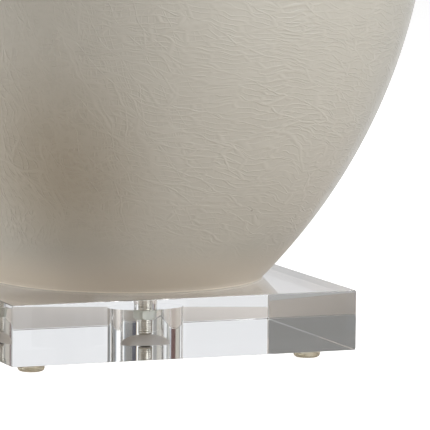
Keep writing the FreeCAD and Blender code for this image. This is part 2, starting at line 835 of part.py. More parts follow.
def finial_base():
    """The turned nut of the finial: flange, stem and cup, tapped for the stud."""
    low = spider_top
    top = low + finial_height
    flange_top = low + finial_flange_height
    cup_low = top - finial_flange_height
    stem_half = (cup_low - flange_top) / 2
    bite = finial_flange_radius - finial_stem_radius
    curve = (stem_half ** 2 + bite ** 2) / (2 * bite)
    reach = math.degrees(math.asin(stem_half / curve))
    waist = arc((finial_stem_radius + curve, flange_top + stem_half), curve, 180 + reach, 180 - reach)
    bore = stud_radius + running_clearance
    bore_top = collar_top + stud_length + soft_clearance
    flange_round = finial_flange_height / 2
    flange = arc((finial_flange_radius - flange_round, low + flange_round), flange_round, -90, 0)
    solid = turned([(bore, low), flange, waist, (finial_cup_radius, top), (0, top), (0, bore_top),
                    (bore, bore_top)])
    ball = Part.makeSphere(finial_ball_radius + glue_gap, Vector(0, 0, ball_centre()))
    peg = disc(finial_peg_radius + glue_gap, top - finial_seat_depth - finial_peg_length, top + cut_overrun)
    return solid.cut(ball).cut(peg)


def ball_centre():
    """Height of the ball's centre, sunk a little into the cup."""
    return spider_top + finial_height - finial_seat_depth + finial_ball_radius


def finial_ball():
    """The clear ball on top, with a short peg into the cup."""
    ball = Part.makeSphere(finial_ball_radius, Vector(0, 0, ball_centre()))
    seat = spider_top + finial_height - finial_seat_depth
    peg = disc(finial_peg_radius, seat - finial_peg_length + glue_gap, seat + cut_overrun)
    return ball.fuse(peg).removeSplitter()


def main():
    """Make and write every sub-part, from the floor up."""
    save("bumper_feet", bumper_feet())
    save("acrylic_block", acrylic_block())
    save("base_washer", base_washer())
    save("base_nut", hex_nut(base_nut_bottom))
    save("threaded_pipe", threaded_pipe())
    save("vase_body", vase_body())
    save("cord_bushing", cord_bushing())
    save("vase_cap", vase_cap())
    save("turned_neck", neck())
    save("check_ring", check_ring())
    save("harp_saddle", harp_saddle())
    save("saddle_nut", hex_nut(saddle_top))
    save("holder_cap", holder_cap())
    save("holder_set_screw", holder_set_screw())
    save("holder_shell", holder_shell())
    save("holder_liner", holder_liner())
    save("holder_body", holder_body())
    save("terminal_screws", terminal_screws())
    save("screw_shell", screw_shell())
    save("centre_contact", centre_contact())
    save("switch_shaft", switch_shaft())
    save("switch_knob", switch_knob())
    save("harp_wire", harp_wire())
    save("harp_top", harp_top())
    save("ferrule_left", ferrule(-1))
    save("ferrule_right", ferrule(1))
    save("shade_spider", shade_spider())
    save("shade_top_ring", shade_ring(shade_top - shade_ring_inset))
    save("shade_bottom_ring", shade_ring(shade_bottom + shade_ring_inset))
    save("shade_shell", shade_shell())
    save("shade_trims", shade_trims())
    save("finial_base", finial_base())
    save("finial_ball", finial_ball())


main()
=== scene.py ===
# %% [markdown]
# # A vase lamp, dressed in Blender
# The lamp comes in as a frame of solid pieces at their real size. This lesson gives each piece the
# surface that a maker would give it, adds what is too fine for the frame, such as threads and woven
# cloth, and lights it as a photographer would light a glossy pot on a clear block.

# %% Load the frame
import math
import bmesh
import bpy
from mathutils import Matrix, Vector


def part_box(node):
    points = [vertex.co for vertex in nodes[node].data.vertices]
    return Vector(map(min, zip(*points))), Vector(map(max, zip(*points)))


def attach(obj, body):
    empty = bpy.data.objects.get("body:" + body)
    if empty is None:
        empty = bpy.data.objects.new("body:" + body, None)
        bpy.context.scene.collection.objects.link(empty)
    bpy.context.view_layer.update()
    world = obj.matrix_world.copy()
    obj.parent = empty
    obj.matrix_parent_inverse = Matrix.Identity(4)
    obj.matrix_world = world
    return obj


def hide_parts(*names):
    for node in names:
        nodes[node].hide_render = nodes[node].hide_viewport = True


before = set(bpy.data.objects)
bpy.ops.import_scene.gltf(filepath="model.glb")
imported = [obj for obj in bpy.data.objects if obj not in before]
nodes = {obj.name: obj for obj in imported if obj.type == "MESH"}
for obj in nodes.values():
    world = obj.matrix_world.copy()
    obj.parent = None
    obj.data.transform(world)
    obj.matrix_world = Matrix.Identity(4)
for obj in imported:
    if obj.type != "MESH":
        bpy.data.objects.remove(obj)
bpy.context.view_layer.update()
scene = bpy.context.scene

# %% [markdown]
# ## Units
# Blender counts in metres and a workshop counts in millimetres. Sizes here are in millimetres and
# are multiplied by one value where they meet a mesh or a shader, so no number is ever in doubt.

# %% Units and shared values
mm = 0.001
full_turn = 2 * math.pi


def low(node):
    """Lowest corner of a piece of the frame, in millimetres."""
    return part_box(node)[0] / mm


def high(node):
    """Highest corner of a piece of the frame, in millimetres."""
    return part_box(node)[1] / mm


print("vase from", round(low("vase_body").z, 2), "to", round(high("vase_body").z, 2), "mm")

# %% [markdown]
# ## Colours
# A shader works with linear light, but a colour chip or a photograph is read in sRGB, where the dark
# tones are spread out. Every colour below is an sRGB hex value, and this one function turns it to linear.

# %% Colour function
def linear(hex_code):
    """An sRGB hex colour as linear red, green, blue and alpha."""
    parts = [int(hex_code[start:start + 2], 16) / 255 for start in (1, 3, 5)]
    lit = [part / 12.92 if part <= 0.04045 else ((part + 0.055) / 1.055) ** 2.4 for part in parts]
    return (*lit, 1.0)


white = linear("#FFFFFF")
print("mid grey is", round(linear("#808080")[0], 3), "in linear light")

# %% [markdown]
# ## Building shaders
# A node needs the same three steps each time: make it, choose its settings, then fill or link its
# sockets. One helper does all three, so the recipe of a finish can be read from top to bottom.
# Sockets are given by name or in their order. A Map Range node, for one, reads: a value, the range
# that it comes from, and the range that it goes to. A finish starts from the Principled shader,
# whose sockets hold what is the same all over the surface.

# %% Node and finish helpers
smooth = {"interpolation_type": "SMOOTHSTEP"}


def fill(tree, node, sockets):
    """Give each socket a value, or link it to another socket or to the first result of a node."""
    for name, value in sockets.items() if isinstance(sockets, dict) else enumerate(sockets):
        if isinstance(value, bpy.types.Node):
            value = next(output for output in value.outputs if output.enabled)
        if isinstance(value, bpy.types.NodeSocket):
            tree.links.new(value, node.inputs[name])
        else:
            node.inputs[name].default_value = value


def add(tree, kind, sockets=(), **settings):
    """Add a node, a shader node if its kind doesn't say more, and choose its settings and sockets."""
    node = tree.nodes.new(kind if "Node" in kind else "ShaderNode" + kind)
    for name, value in settings.items():
        setattr(node, name, value)
    fill(tree, node, sockets)
    return node


def finish_named(name, surface):
    """A new finish: the material, its node tree, its Principled shader and its object coordinates."""
    material = bpy.data.materials.new(name)
    material.use_nodes = True
    tree = material.node_tree
    tree.nodes.clear()
    shader = add(tree, "BsdfPrincipled", surface)
    add(tree, "OutputMaterial", {"Surface": shader})
    return material, tree, shader, add(tree, "TexCoord").outputs["Object"]


print("helpers ready")

# %% [markdown]
# ## The camera
# A product photographer stands well back with a long lens, so upright edges stay nearly parallel.
# The block's corners fix the view: how far the camera turns, tilts and leans, and how far it stands
# back. The whole frame is placed by one point, the middle of the block's top, so the lens isn't shifted.

# %% Camera
picture_side = 430
block_top_pixel = (123.42, 274.56)
camera_turn = math.radians(21.702)
camera_tilt = math.radians(6.698)
camera_lean = math.radians(0.55)
camera_distance = 1672.35
focal_pixels = 3884.1
sensor_width = 36.0
near_limit = 50.0

block_top = high("acrylic_block").z
forward = Vector((math.sin(camera_turn) * math.cos(camera_tilt),
                  math.cos(camera_turn) * math.cos(camera_tilt), -math.sin(camera_tilt)))
level_right = Vector((math.cos(camera_turn), -math.sin(camera_turn), 0))
level_up = level_right.cross(forward)
right = level_right * math.cos(camera_lean) + level_up * math.sin(camera_lean)
up = level_up * math.cos(camera_lean) - level_right * math.sin(camera_lean)
pixel_size = camera_distance / focal_pixels
aim = Vector((0, 0, block_top))
aim += right * (picture_side / 2 - block_top_pixel[0]) * pixel_size
aim += up * (block_top_pixel[1] - picture_side / 2) * pixel_size

lens = bpy.data.cameras.new("long_lens")
lens.sensor_width = sensor_width
lens.lens = focal_pixels * sensor_width / picture_side
lens.clip_start = near_limit * mm
camera = bpy.data.objects.new("camera", lens)
scene.collection.objects.link(camera)
axes = Matrix((right, up, -forward)).transposed().to_4x4()
camera.matrix_world = Matrix.Translation((aim - forward * camera_distance) * mm) @ axes
scene.camera = camera
print("lens", round(lens.lens, 1), "mm, one pixel is", round(pixel_size, 3), "mm on the lamp")

# %% [markdown]
# ## How light is counted
# A clear block bends and bounces light many times, so the renderer may follow a ray further than
# usual. The plain view transform keeps white paper white, as a product photo does.

# %% Light counting
scene.view_settings.view_transform = "Standard"
scene.cycles.max_bounces = 20
scene.cycles.glossy_bounces = 14
scene.cycles.transmission_bounces = 16
scene.cycles.diffuse_bounces = 4
scene.cycles.transparent_max_bounces = 16
scene.cycles.sample_clamp_indirect = 6.0
print("light follows up to", scene.cycles.max_bounces, "bounces")

# %% [markdown]
# ## The studio all round
# Clear acrylic has no colour of its own: what shows in it is the room behind and beside it. The room
# is a white paper sweep with grey and black boards beside it, as a photographer sets them to draw
# the edges of glass. The camera itself sees only the plain pale ground, so the boards never show.
# They are there for gloss and clear plastic, so little of their light falls on matt pieces. Each
# board is a stretch of the compass, in degrees from the back (+Y) towards the right (+X).

# %% Boards and sky of the studio
boards = (
    ("brown front wall", -180, "#8A7F6C"),
    ("left front wall", -120, "#B4B4B2"),
    ("left window", -86, "#FFFFFF"),
    ("left window's edge", -56, "#9BA0A6"),
    ("left grey board", -46, "#7C7C7B"),
    ("black flag", -14, "#3C3E4C"),
    ("flag's edge", -2.5, "#B9A485"),
    ("white sweep", 0, "#FFFFFF"),
    ("pale sweep", 11, "#E0E1E4"),
    ("bright sweep", 33, "#FFFFFF"),
    ("right grey board", 40, "#8F8F8E"),
    ("pale right wall", 53, "#B4B0A8"),
    ("dark red board", 86, "#5E4442"),
    ("right front wall", 118, "#C0C8D2"),
    ("front window", 155, "#FFFFFF"),
    ("brown front wall, far side", 170, "#8A7F6C"),
)
board_light = 1.12
sky_light = 0.55
sky_starts_at = math.radians(16)
sky_full_at = math.radians(30)
light_on_matt = 0.06

world = bpy.data.worlds.new("studio")
scene.world = world
world.cycles.sampling_method = "NONE"
world.use_nodes = True
tree = world.node_tree
tree.nodes.clear()
towards = add(tree, "TexCoord").outputs["Generated"]
axes_of = add(tree, "SeparateXYZ", (towards,)).outputs
compass = add(tree, "Math", (axes_of["X"], axes_of["Y"]), operation="ARCTAN2")
share = add(tree, "MapRange", (compass, -math.pi, math.pi))
wall = add(tree, "ValToRGB", (share,))
wall.color_ramp.interpolation = "CONSTANT"
stops = wall.color_ramp.elements
while len(stops) < len(boards):
    stops.new(1.0)
for stop, (name, starts_at, colour) in zip(stops, boards):
    stop.position = (starts_at + 180) / 360
    stop.color = linear(colour)
height = add(tree, "MapRange", (axes_of["Z"], math.sin(sky_starts_at), math.sin(sky_full_at)), **smooth)
wall_light = add(tree, "Background", (wall, board_light))
sky = add(tree, "Background", (white, sky_light))
room = add(tree, "MixShader", (height, wall_light, sky))
ray = add(tree, "LightPath").outputs
held_back = add(tree, "Math", (ray["Is Diffuse Ray"], 1 - light_on_matt), operation="MULTIPLY")
dark = add(tree, "Background", {"Strength": 0.0})
dimmed = add(tree, "MixShader", (held_back, room, dark))
paper = add(tree, "Background", (white, 1.0))
split = add(tree, "MixShader", (ray["Is Camera Ray"], dimmed, paper))
add(tree, "OutputWorld", {"Surface": split})
print("boards round the lamp:", len(boards))

# %% [markdown]
# ## Floor
# The lamp stands on a lacquered beige table whose far edge is close behind it, with a glossy white
# sheet beyond. The edge shows through the clear block as a level line. To the camera both are the
# same plain pale ground, with only a faint shadow. Every other ray meets the lacquer, which mirrors
# the boards at a low angle, so the block shows one table light on one side and grey on the other.

# %% Floor
table_edge_distance = 161.0
table_edge_turn = math.radians(17.1)
table_edge_softness = 1.5
floor_reach = 6.0
sheet_mirror_share = 0.7
sheet_light = 0.8
ground_light = 0.9
matt_share = 0.38
table_colour = linear("#E8DED5")

floor_mesh = bpy.data.meshes.new("table")
corners = [(x * floor_reach, y * floor_reach, 0) for x, y in ((-1, -1), (1, -1), (1, 1), (-1, 1))]
floor_mesh.from_pydata(corners, [], [(0, 1, 2, 3)])
floor_object = bpy.data.objects.new("table", floor_mesh)
scene.collection.objects.link(floor_object)

ground, tree, shader, place = finish_named("lacquered_table_top", {
    "Base Color": table_colour, "Roughness": 0.08, "IOR": 1.5})
worn = add(tree, "BsdfDiffuse", {"Color": table_colour})
lacquer = add(tree, "MixShader", (matt_share, shader, worn))
away_from_lamp = (math.sin(table_edge_turn), math.cos(table_edge_turn), 0)
beyond = add(tree, "VectorMath", (place, away_from_lamp), operation="DOT_PRODUCT")
past_edge = add(tree, "MapRange", (beyond, (table_edge_distance - table_edge_softness) * mm,
                                   (table_edge_distance + table_edge_softness) * mm))
lit_paper = add(tree, "Emission", (white, sheet_light))
gloss = add(tree, "BsdfGlossy", {"Color": white, "Roughness": 0.05})
sheet = add(tree, "MixShader", (sheet_mirror_share, lit_paper, gloss))
table_or_sheet = add(tree, "MixShader", (past_edge, lacquer, sheet))
bright = add(tree, "Emission", (white, ground_light))
matte = add(tree, "BsdfDiffuse", {"Color": linear("#C8C8C8")})
pale = add(tree, "AddShader", (bright, matte))
seen = add(tree, "LightPath").outputs["Is Camera Ray"]
split = add(tree, "MixShader", (seen, table_or_sheet, pale))
fill(tree, tree.get_output_node("ALL"), {"Surface": split})
floor_mesh.materials.append(ground)
print("floor", 2 * floor_reach, "m wide")

# %% [markdown]
# ## Lamps of the studio
# A glossy pot shows every lamp as a highlight. Large soft boxes give broad, faint ones: a key from
# the right of the camera, a weak fill from the left, and a soft one overhead for the shade's top. A
# small one low on the left lifts the underside of the pot, and is kept out of the reflections.

# %% Soft boxes
soft_boxes = (
    # name, compass and climb in degrees, distance and side in metres, watts, mirrored
    ("key_box", 150, 30, 1.6, 1.3, 29.0, True),
    ("fill_box", -75, 32, 1.6, 1.0, 5.5, True),
    ("low_box", -75, -20, 0.5, 0.2, 1.3, False),
    ("top_box", 30, 78, 1.9, 1.2, 7.0, True),
)
lamp_centre = Vector((0, 0, 0.25))
for name, compass_angle, climb, distance, side, watts, mirrored in soft_boxes:
    box = bpy.data.lights.new(name, "AREA")
    box.shape = "SQUARE"
    box.size = side
    box.energy = watts
    box_object = bpy.data.objects.new(name, box)
    scene.collection.objects.link(box_object)
    turn = math.radians(compass_angle)
    lift = math.radians(climb)
    away = Vector((math.sin(turn) * math.cos(lift), math.cos(turn) * math.cos(lift), math.sin(lift)))
    box_object.location = lamp_centre + away * distance
    box_object.rotation_euler = away.to_track_quat("Z", "Y").to_euler()
    box_object.visible_glossy = mirrored
    box_object.visible_transmission = mirrored
print("soft boxes:", len(soft_boxes))

# %% [markdown]
# ## A lathe made of nodes
# Most of this lamp is turned: the pot on a wheel, the metal pieces on a lathe. One outline in the
# plane of radius and height is enough. A Screw modifier could spin it, but a Geometry Nodes tree
# shows the rule itself: a grid is made with one row for each point of the outline and one column for
# each step round the axis, and every grid point takes the place of its outline point, turned to its
# column's angle. Merging by distance closes the seam and the poles.

# %% The lathe tree
merge_distance = 0.0005


def empty_tree(name, sizes):
    """A Geometry Nodes tree that takes a mesh, named sizes and a finish: tree, inputs, output."""
    tree = bpy.data.node_groups.new(name, "GeometryNodeTree")
    for side in ("INPUT", "OUTPUT"):
        tree.interface.new_socket("Geometry", in_out=side, socket_type="NodeSocketGeometry")
    for label, kind in {**sizes, "Finish": "Material"}.items():
        tree.interface.new_socket(label, in_out="INPUT", socket_type="NodeSocket" + kind)
    return tree, add(tree, "NodeGroupInput").outputs, add(tree, "NodeGroupOutput")


def end_tree(tree, given, output, geometry):
    """End a tree as the export needs it: instances made real, and the finish set."""
    real = add(tree, "GeometryNodeRealizeInstances", {"Geometry": geometry})
    finished = add(tree, "GeometryNodeSetMaterial", {"Geometry": real, "Material": given["Finish"]})
    fill(tree, output, {"Geometry": finished})
    print(tree.name, "tree has", len(tree.nodes), "nodes")


lathe, given, output = empty_tree("lathe", {"Points": "Int", "Steps round": "Int"})
columns = add(lathe, "Math", (given["Steps round"], 1), operation="ADD")
grid = add(lathe, "GeometryNodeMeshGrid", {"Vertices X": columns, "Vertices Y": given["Points"]})
number = add(lathe, "GeometryNodeInputIndex")
row = add(lathe, "Math", (number, given["Points"]), operation="FLOORED_MODULO")
rows_before = add(lathe, "Math", (number, given["Points"]), operation="DIVIDE")
column = add(lathe, "Math", (rows_before,), operation="FLOOR")
turned_share = add(lathe, "Math", (column, given["Steps round"]), operation="DIVIDE")
angle = add(lathe, "Math", (turned_share, full_turn), operation="MULTIPLY")
outline_point = add(lathe, "GeometryNodeSampleIndex", {
    "Geometry": given["Geometry"], "Value": add(lathe, "GeometryNodeInputPosition"), "Index": row},
    data_type="FLOAT_VECTOR", domain="POINT")
spun = add(lathe, "VectorRotate", {"Vector": outline_point, "Angle": angle}, rotation_type="Z_AXIS")
placed = add(lathe, "GeometryNodeSetPosition", {"Geometry": grid, "Position": spun})
merged = add(lathe, "GeometryNodeMergeByDistance", {"Geometry": placed, "Distance": merge_distance * mm})
end_tree(lathe, given, output, merged)

# %% [markdown]
# ## Running a tree
# A tree runs as a modifier. Its inputs are set before Blender first looks at the object, the result
# is copied to a plain mesh, and the modifier goes. The start mesh leaves an empty finish slot behind,
# so the slots are cleared and the one finish is put back. The lathe's skin may come out facing either
# way, so the normals are made to point outwards, and edges sharper than a limit are kept crisp.

# %% Running a tree
def run_tree(name, start, tree, values):
    """Run a tree on a mesh or a piece, and return the piece with the result as its plain mesh."""
    piece = start if isinstance(start, bpy.types.Object) else bpy.data.objects.new(name, start)
    modifier = piece.modifiers.new(tree.name, "NODES")
    modifier.node_group = tree
    for socket in tree.interface.items_tree:
        if socket.in_out == "INPUT" and socket.name in values:
            modifier[socket.identifier] = values[socket.name]
    if piece.name not in scene.collection.objects:
        scene.collection.objects.link(piece)
    graph = bpy.context.evaluated_depsgraph_get()
    made = bpy.data.meshes.new_from_object(piece.evaluated_get(graph), preserve_all_data_layers=True,
                                           depsgraph=graph)
    piece.modifiers.remove(modifier)
    made.materials.clear()
    made.materials.append(values["Finish"])
    piece.data = made
    made.name = name
    return piece


def tidy_mesh(mesh, crisp_angle=35.0):
    """Point the faces outwards, and shade smooth with crisp edges past an angle."""
    work = bmesh.new()
    work.from_mesh(mesh)
    bmesh.ops.recalc_face_normals(work, faces=work.faces)
    work.to_mesh(mesh)
    work.free()
    mesh.shade_smooth()
    mesh.set_sharp_from_angle(angle=math.radians(crisp_angle))


def turned(name, outline, steps, material, crisp_angle=35.0):
    """A closed turned piece from its outline, a closed list of (radius, height) in millimetres."""
    start = bpy.data.meshes.new(name + "_outline")
    closed = [*outline, outline[0]]
    start.from_pydata([(radius * mm, 0, z * mm) for radius, z in closed], [], [])
    piece = run_tree(name, start, lathe, {"Points": len(closed), "Steps round": steps,
                                          "Finish": material})
    tidy_mesh(piece.data, crisp_angle)
    print(name, "has", len(piece.data.polygons), "faces")
    return piece


def arc(centre, radius, from_angle, to_angle, spacing):
    """Points along a round stretch of an outline, angles in degrees from +radius towards +height."""
    length = abs(math.radians(to_angle - from_angle)) * radius
    count = max(2, math.ceil(length / spacing))
    turns = [math.radians(from_angle + (to_angle - from_angle) * index / count)
             for index in range(count + 1)]
    return [(centre[0] + radius * math.cos(turn), centre[1] + radius * math.sin(turn)) for turn in turns]


def run_between(start, end, spacing):
    """Points along a straight stretch of an outline, without its end."""
    count = max(1, math.ceil(math.dist(start, end) / spacing))
    return [(start[0] + (end[0] - start[0]) * index / count, start[1] + (end[1] - start[1]) * index / count)
            for index in range(count)]


print("lathe ready")

# %% [markdown]
# ## Crackle glaze
# The pot is earthenware under a warm grey gloss glaze. The glaze shrinks more than the clay, so it
# crazes all over, and the swollen edge of each crack catches the light. Cracks are the borders of
# cells, so a Voronoi pattern gives them: close to a border the skin stands up in a fine ridge. Each
# family of cracks has flat cells, tilted by its own angle about the way the pot faces there. Level
# ones cover the right, steep ones the left, and a few long ones cross both. A slow noise bends them
# all and a fine one roughens them. Real cracks are a tenth of a millimetre wide. They are drawn
# wider here, so that they show.

# %% The crackle's ridges
crack_bends = ((28.0, 6.5), (8.0, 1.5))
crack_half_width = 0.3
crack_families = (
    # tilt and facing in degrees, cell length and thickness, scatter, height, where it starts and is full
    ("level", 4, 150, 13.0, 2.0, 0.6, 1.0, -75, -20),
    ("long level", 14, 160, 50.0, 8.0, 1.0, 1.2, -75, -20),
    ("steep", 82, 210, 13.0, 2.3, 0.6, 1.2, 35, -35),
    ("long diagonal", 58, 200, 45.0, 8.0, 1.0, 1.4, 50, -15),
)
crack_patch_size = 16.0
plain_foot = 6.0
crazed_above = 34.0


def crackle_relief(tree, place, level):
    """The height of the crackle's ridges, from 0 up, plain near the foot."""
    bent = place
    for length, bend in crack_bends:
        wave = add(tree, "TexNoise", {"Vector": place, "Scale": 1 / (length * mm), "Detail": 1.5})
        offset = add(tree, "VectorMath", (wave.outputs["Color"], (0.5, 0.5, 0.5)), operation="SUBTRACT")
        bent = add(tree, "VectorMath", (offset, (2 * bend * mm,) * 3, bent), operation="MULTIPLY_ADD")
    side = add(tree, "VectorMath", (place, level_right), operation="DOT_PRODUCT")
    ridges = 0.0
    for name, turn, faces, length, thickness, scatter, height, starts_at, full_at in crack_families:
        facing = (math.sin(math.radians(faces)), math.cos(math.radians(faces)), 0)
        tilted = add(tree, "VectorRotate", {
            "Vector": bent, "Axis": facing, "Angle": math.radians(turn)}, rotation_type="AXIS_ANGLE")
        cells = (1 / (length * mm), 1 / (length * mm), 1 / (thickness * mm))
        stretched = add(tree, "VectorMath", (tilted, cells), operation="MULTIPLY")
        edge = add(tree, "TexVoronoi", {
            "Vector": stretched, "Scale": 1.0, "Randomness": scatter}, feature="DISTANCE_TO_EDGE")
        ridge = add(tree, "MapRange", (edge, 0.0, crack_half_width / thickness, height, 0.0), **smooth)
        here = add(tree, "MapRange", (side, starts_at * mm, full_at * mm, 0.1, 1.0), **smooth)
        cracks = add(tree, "Math", (ridge, here), operation="MULTIPLY")
        ridges = add(tree, "Math", (ridges, cracks), operation="MAXIMUM")
    patches = add(tree, "TexNoise", {"Vector": place, "Scale": 1 / (crack_patch_size * mm), "Detail": 2.0})
    strength = add(tree, "MapRange", (patches, 0.35, 0.65, 0.5, 1.0))
    fade = add(tree, "MapRange", (level, (block_top + plain_foot) * mm,
                                  (block_top + crazed_above) * mm), **smooth)
    varied = add(tree, "Math", (ridges, strength), operation="MULTIPLY")
    return add(tree, "Math", (varied, fade), operation="MULTIPLY")


print("families of cracks:", len(crack_families))

# %% [markdown]
# ## The glaze
# One broad soft patch low on the front left is painted darker, as painted shade, and a band up from
# the foot is painted paler, as painted light from below. The crack ridges get a painted highlight. The
# glaze's last half millimetre is wiped bare. A few iron specks dot it, and the wheel leaves gentle waves
# under it.

# %% The glaze
ridge_height = 0.13
wave_size = 9.0
wave_height = 0.18
cloud_size = 70.0
painted_shade_centre = (-58.0, -81.0, 84.0)
painted_shade_reach = (50.0, 50.0, 76.0)
painted_bounce_band = 22.0
speck_spacing = 24.0
bare_foot = (0.5, 0.8)


def crackle_glaze():
    """Glossy warm grey glaze over clay, finely crazed, wiped off at the very foot."""
    material, tree, shader, place = finish_named("crackle_glazed_earthenware", {
        "Roughness": 0.3, "IOR": 1.5, "Coat Weight": 0.25, "Coat Roughness": 0.12})
    level = add(tree, "SeparateXYZ", (place,)).outputs["Z"]
    ridges = crackle_relief(tree, place, level)
    hammered = add(tree, "TexNoise", {"Vector": place, "Scale": 1 / (wave_size * mm), "Detail": 2.0})
    waviness = add(tree, "Bump", {
        "Strength": 0.35, "Distance": wave_height * mm, "Height": hammered})
    relief = add(tree, "Bump", {
        "Strength": 1.0, "Distance": ridge_height * mm, "Height": ridges, "Normal": waviness})
    cloud = add(tree, "TexNoise", {"Vector": place, "Scale": 1 / (cloud_size * mm), "Detail": 3.0})
    colour = add(tree, "Mix", {0: cloud, 6: linear("#BDBCB4"), 7: linear("#B6B4AB")}, data_type="RGBA")
    # Painted shade: one soft patch low on the front left is painted darker, in the glaze's colour.
    from_painted_shade = add(tree, "VectorMath", (place, [part * mm for part in painted_shade_centre]),
                    operation="SUBTRACT")
    in_painted_shade = add(tree, "VectorMath", (from_painted_shade, [1 / (part * mm) for part in painted_shade_reach]),
                  operation="MULTIPLY")
    painted_shade_way = add(tree, "VectorMath", (in_painted_shade,), operation="LENGTH")
    painted_shade = add(tree, "MapRange", (painted_shade_way, 0.0, 1.0, 1.0, 0.0), **smooth)
    # Painted light: a band up from the foot is painted paler, standing in for light bounced up from the
    # block.
    painted_bounce = add(tree, "MapRange", (level, block_top * mm, (block_top + painted_bounce_band) * mm, 0.9, 0.0), **smooth)
    # Painted highlight: the crack ridges are painted lighter.
    painted_glint = add(tree, "Math", (ridges, 0.04), operation="MULTIPLY")
    dots = add(tree, "TexVoronoi", {"Vector": place, "Scale": 1 / (speck_spacing * mm)})
    speck = add(tree, "MapRange", (dots, 0.014, 0.03, 0.45, 0.0))
    bare = add(tree, "MapRange", (level, *((block_top + rise) * mm for rise in bare_foot), 1.0, 0.0))
    # The painted shade, the painted light from below and the painted highlight go into the colour first,
    # then the specks and the bare foot.
    for share, tone in ((painted_shade, "#A0998A"), (painted_bounce, "#DACFBE"), (painted_glint, "#F2EEE6"),
                        (speck, "#5E574C"), (bare, "#EFE6D6")):
        colour = add(tree, "Mix", {0: share, 6: colour, 7: linear(tone)}, data_type="RGBA")
    fill(tree, shader, {"Base Color": colour, "Normal": relief, "Coat Normal": relief})
    return material


glaze = crackle_glaze()
print("glaze has", len(glaze.node_tree.nodes), "nodes")

# %% [markdown]
# ## The pot
# The wall is three round stretches that run smoothly into each other: a long one up the side, a
# tighter one over the shoulder, and a small one turned the other way at the neck. The inside follows
# the same arcs, a wall's thickness in. The foot is trimmed to a ring, and the lip is rolled.

# %% The pot's outline
foot_radius = 59.5
belly_radius = high("vase_body").x
belly_height = 172.0
shoulder_curve = 168.0
neck_radius = 30.0
neck_curve = 14.0
wall_thickness = 6.0
floor_thickness = 9.0
foot_ring_width = 8.0
foot_recess = 1.6
foot_edge_rounding = 0.5
lip_rounding = 1.8
pipe_hole_radius = 6.0
glaze_step = 3.0
inside_step = 8.0
side_curve = ((belly_radius - foot_radius) ** 2 + belly_height ** 2) / (2 * (belly_radius - foot_radius))


def pot_outline():
    """The pot's closed outline, from the pipe's hole, out over the foot, up and back down inside."""
    side_centre = (belly_radius - side_curve, belly_height)
    shoulder_centre = (belly_radius - shoulder_curve, belly_height)
    reach = shoulder_curve + neck_curve
    across = neck_radius + neck_curve - shoulder_centre[0]
    blend = math.degrees(math.acos(across / reach))
    waist = belly_height + reach * math.sin(math.radians(blend))
    neck_centre = (neck_radius + neck_curve, waist)
    top = high("vase_body").z - low("vase_body").z
    flare = math.degrees(math.asin((top - lip_rounding - waist) / neck_curve))
    foot_turn = math.degrees(math.asin((foot_edge_rounding - belly_height) / side_curve))
    side = arc(side_centre, side_curve, foot_turn, 0, glaze_step)
    shoulder = arc(shoulder_centre, shoulder_curve, 0, blend, glaze_step)
    neck = arc(neck_centre, neck_curve, 180 + blend, 180 - flare, 1.0)
    lip_radius, lip_height = neck[-1]
    lip = arc((lip_radius - lip_rounding, lip_height), lip_rounding, 0, 90, 0.5)
    mouth = neck_radius - wall_thickness
    inner_lip = arc((mouth + lip_rounding, lip_height), lip_rounding, 90, 180, 0.5)
    inner_neck = arc(neck_centre, neck_curve + wall_thickness, 180, 180 + blend, 4.0)
    inner_shoulder = arc(shoulder_centre, shoulder_curve - wall_thickness, blend, 0, inside_step)
    floor_turn = math.degrees(math.asin((floor_thickness - belly_height) / (side_curve - wall_thickness)))
    inner_side = arc(side_centre, side_curve - wall_thickness, 0, floor_turn, inside_step)
    ring_inside = foot_radius - foot_ring_width
    foot = [(pipe_hole_radius, foot_recess), (ring_inside, foot_recess), (ring_inside, 0)]
    foot += arc((side[0][0] - foot_edge_rounding, foot_edge_rounding), foot_edge_rounding, -90, 0, 0.2)
    return [*foot, *side[1:], *shoulder[1:], *neck[1:], *lip[1:], *inner_lip, *inner_neck,
            *inner_shoulder[1:], *inner_side[1:], (pipe_hole_radius, floor_thickness)]


pot_points = [(radius, z + block_top) for radius, z in pot_outline()]
print("the pot's outline has", len(pot_points), "points")

# %% [markdown]
# ## Turning and piercing the pot
# The outline is spun on the lathe tree, and the hole for the cord bushing is then cut low in the
# back wall, square to it, with a Boolean modifier, as a potter pierces the leather-hard clay.

# %% The pot
def cut_with(piece, cutter):
    """Cut a hole in a piece with another mesh, and throw the cutter away."""
    modifier = piece.modifiers.new("cut", "BOOLEAN")
    modifier.operation = "DIFFERENCE"
    modifier.solver = "EXACT"
    modifier.object = cutter
    graph = bpy.context.evaluated_depsgraph_get()
    made = bpy.data.meshes.new_from_object(piece.evaluated_get(graph), depsgraph=graph)
    piece.modifiers.remove(modifier)
    piece.data = made
    bpy.data.objects.remove(cutter)


def round_cutter(centre, along, radius, half_length, steps):
    """A round bar to cut with, its middle and direction given, in millimetres."""
    bar = turned("cutter", [(0, -half_length), (radius, -half_length), (radius, half_length),
                            (0, half_length)], steps, None)
    turn = Vector((0, 0, 1)).rotation_difference(Vector(along)).to_matrix().to_4x4()
    bar.data.transform(Matrix.Translation(Vector(centre) * mm) @ turn)
    return bar


pot_steps_round = 240
pot_crisp_angle = 40.0
pot = turned("glazed_pot", pot_points, pot_steps_round, glaze, pot_crisp_angle)
bushing_middle = (low("cord_bushing") + high("cord_bushing")) / 2
bushing_height = 25.0
bushing_hole_radius = 4.9
wall_rise = belly_height - bushing_height
bushing_lean = (0, math.sqrt(side_curve ** 2 - wall_rise ** 2), -wall_rise)
cut_with(pot, round_cutter((0, bushing_middle.y, bushing_middle.z), bushing_lean, bushing_hole_radius,
                           1.5 * wall_thickness, 48))
pot.data.set_sharp_from_angle(angle=math.radians(pot_crisp_angle))
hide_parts("vase_body")
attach(pot, "lamp_base")

